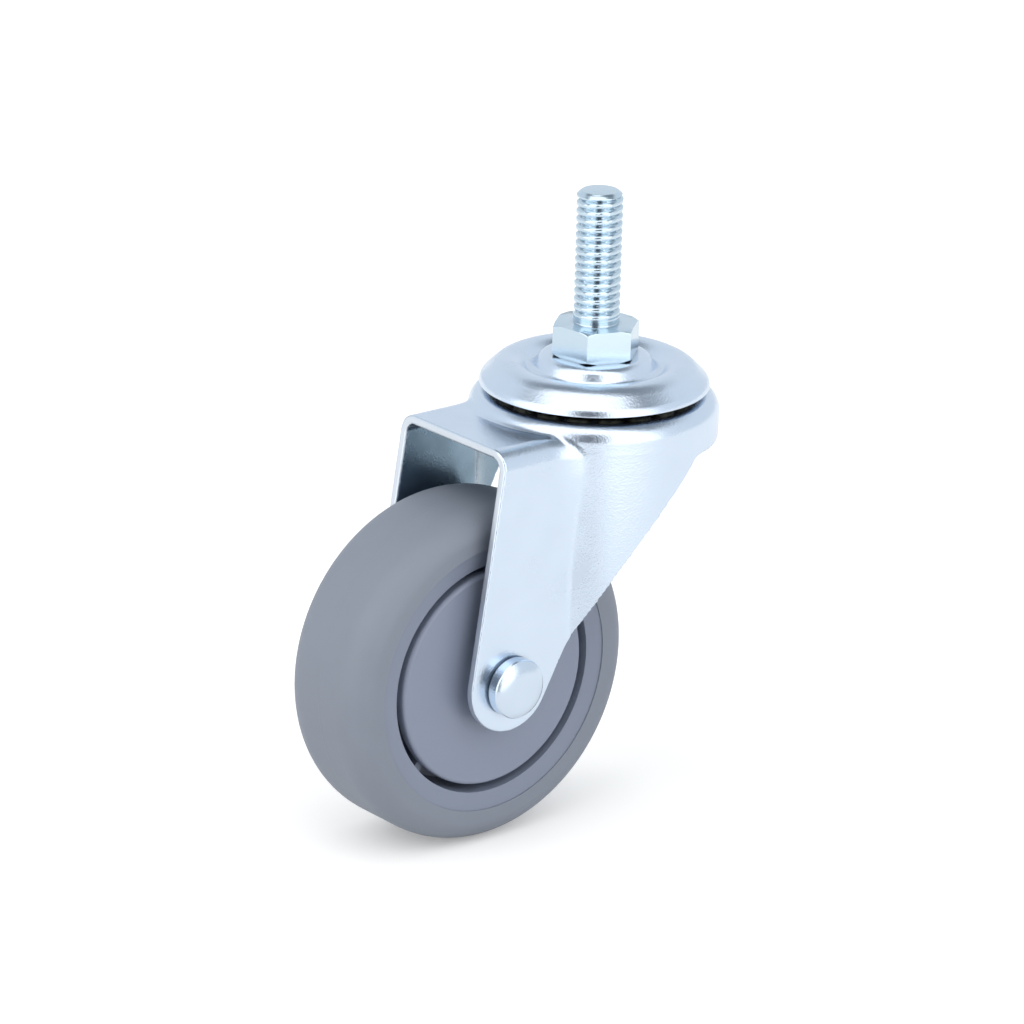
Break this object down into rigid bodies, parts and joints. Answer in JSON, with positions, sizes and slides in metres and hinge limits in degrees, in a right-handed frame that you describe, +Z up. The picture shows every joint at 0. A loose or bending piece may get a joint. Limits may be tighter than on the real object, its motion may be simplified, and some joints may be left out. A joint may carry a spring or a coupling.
{
  "type": "swivel castor",
  "caption": "Swivel castor: a rubber-treaded wheel on ball bearings in a pressed steel fork that turns on a threaded stem with a hexagon collar.",
  "frame": {"origin": "centre of the hexagon's top face, the face that meets the furniture", "axes": "+Z up the threaded stem; the wheel trails towards -X; the axle lies along Y, +Y is left"},
  "size_m": [0.1003, 0.054, 0.1364],
  "materials": {
    "zinc": "bright blue-white zinc plating, satin",
    "axle_steel": "bright zinc plating on turned steel",
    "bearing_steel": "ground bearing steel",
    "tread_rubber": "matte grey non-marking rubber",
    "core_plastic": "satin blue-grey moulded plastic",
    "cover_plastic": "satin blue-grey moulded plastic"
  },
  "bodies": {
    "stem": {"threaded_stem": "zinc", "top_cap": "zinc", "lower_race": "zinc"},
    "upper_ball_ring": {"upper_balls": "bearing_steel"},
    "lower_ball_ring": {"lower_balls": "bearing_steel"},
    "fork": {"fork": "zinc", "axle_rivet": "axle_steel", "left_spacer": "axle_steel", "right_spacer": "axle_steel", "centre_spacer": "axle_steel", "left_inner_ring": "bearing_steel", "right_inner_ring": "bearing_steel"},
    "wheel": {"wheel_core": "core_plastic", "tread": "tread_rubber", "left_cover": "cover_plastic", "right_cover": "cover_plastic", "left_outer_ring": "bearing_steel", "right_outer_ring": "bearing_steel", "left_shields": "bearing_steel", "right_shields": "bearing_steel"},
    "left_ball_set": {"left_bearing_balls": "bearing_steel", "left_cage": "bearing_steel"},
    "right_ball_set": {"right_bearing_balls": "bearing_steel", "right_cage": "bearing_steel"}
  },
  "joints": [
    {"name": "swivel", "type": "hinge", "parent": "stem", "child": "fork", "pos_m": [0, 0, 0], "axis": [0, 0, 1], "continuous": true},
    {"name": "upper_balls_orbit", "type": "hinge", "parent": "stem", "child": "upper_ball_ring", "pos_m": [0, 0, 0], "axis": [0, 0, 1], "continuous": true},
    {"name": "lower_balls_orbit", "type": "hinge", "parent": "stem", "child": "lower_ball_ring", "pos_m": [0, 0, 0], "axis": [0, 0, 1], "continuous": true},
    {"name": "wheel_spin", "type": "hinge", "parent": "fork", "child": "wheel", "pos_m": [-0.0357, 0, -0.0697], "axis": [0, 1, 0], "continuous": true},
    {"name": "left_cage_orbit", "type": "hinge", "parent": "fork", "child": "left_ball_set", "pos_m": [-0.0357, 0, -0.0697], "axis": [0, 1, 0], "continuous": true},
    {"name": "right_cage_orbit", "type": "hinge", "parent": "fork", "child": "right_ball_set", "pos_m": [-0.0357, 0, -0.0697], "axis": [0, 1, 0], "continuous": true}
  ],
  "couplings": [
    {"joint": "upper_balls_orbit", "follows": "swivel", "ratio": 0.5},
    {"joint": "lower_balls_orbit", "follows": "swivel", "ratio": 0.5},
    {"joint": "left_cage_orbit", "follows": "wheel_spin", "ratio": 0.6323},
    {"joint": "right_cage_orbit", "follows": "wheel_spin", "ratio": 0.6323}
  ]
}
